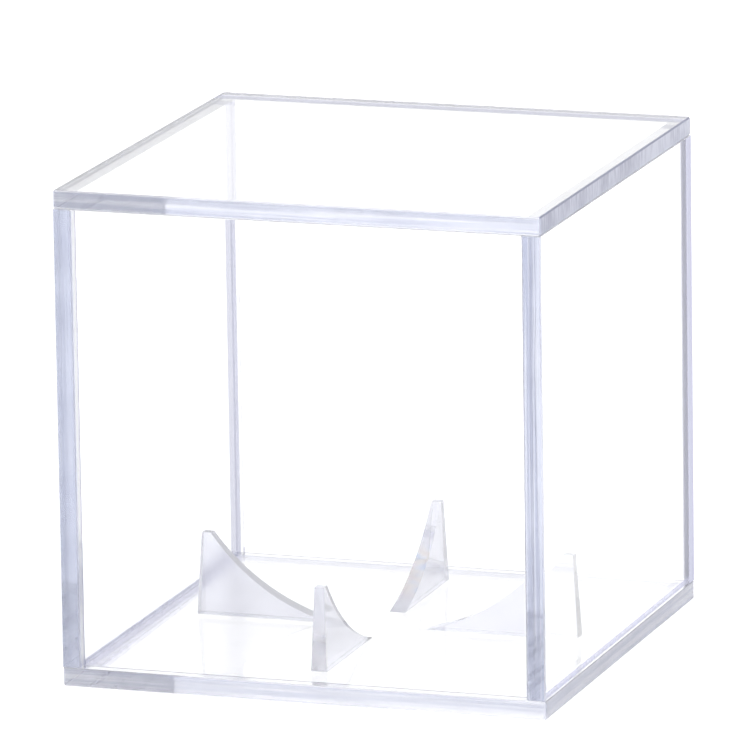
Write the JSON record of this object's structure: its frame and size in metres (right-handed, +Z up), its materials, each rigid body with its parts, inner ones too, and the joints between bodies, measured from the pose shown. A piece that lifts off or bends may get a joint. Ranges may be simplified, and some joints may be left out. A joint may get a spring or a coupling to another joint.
{
  "type": "acrylic display cube",
  "caption": "Clear acrylic display cube: a flat base with curved ball-support fins under a five-sided cover that lifts straight off.",
  "frame": {"origin": "centre of the base plate's underside", "axes": "+Z up, +X to the right and +Y to the back as seen from the front wall"},
  "size_m": [0.08, 0.08, 0.08],
  "materials": {
    "clear_acrylic": "colourless clear acrylic sheet, 3 mm thick, polished faces and machined, slightly milky cut edges",
    "moulded_acrylic": "colourless clear moulded acrylic, glossy, with faint flow marks and bright edges"
  },
  "bodies": {
    "base": {"base_plate": "clear_acrylic", "fin_right": "moulded_acrylic", "fin_back": "moulded_acrylic", "fin_left": "moulded_acrylic", "fin_front": "moulded_acrylic"},
    "cover": {"left_wall": "clear_acrylic", "right_wall": "clear_acrylic", "front_wall": "clear_acrylic", "back_wall": "clear_acrylic", "top_panel": "clear_acrylic"}
  },
  "joints": [
    {"name": "cover_lift", "type": "slide", "parent": "base", "child": "cover", "axis": [0, 0, 1], "range_m": [0, 0.1]}
  ]
}
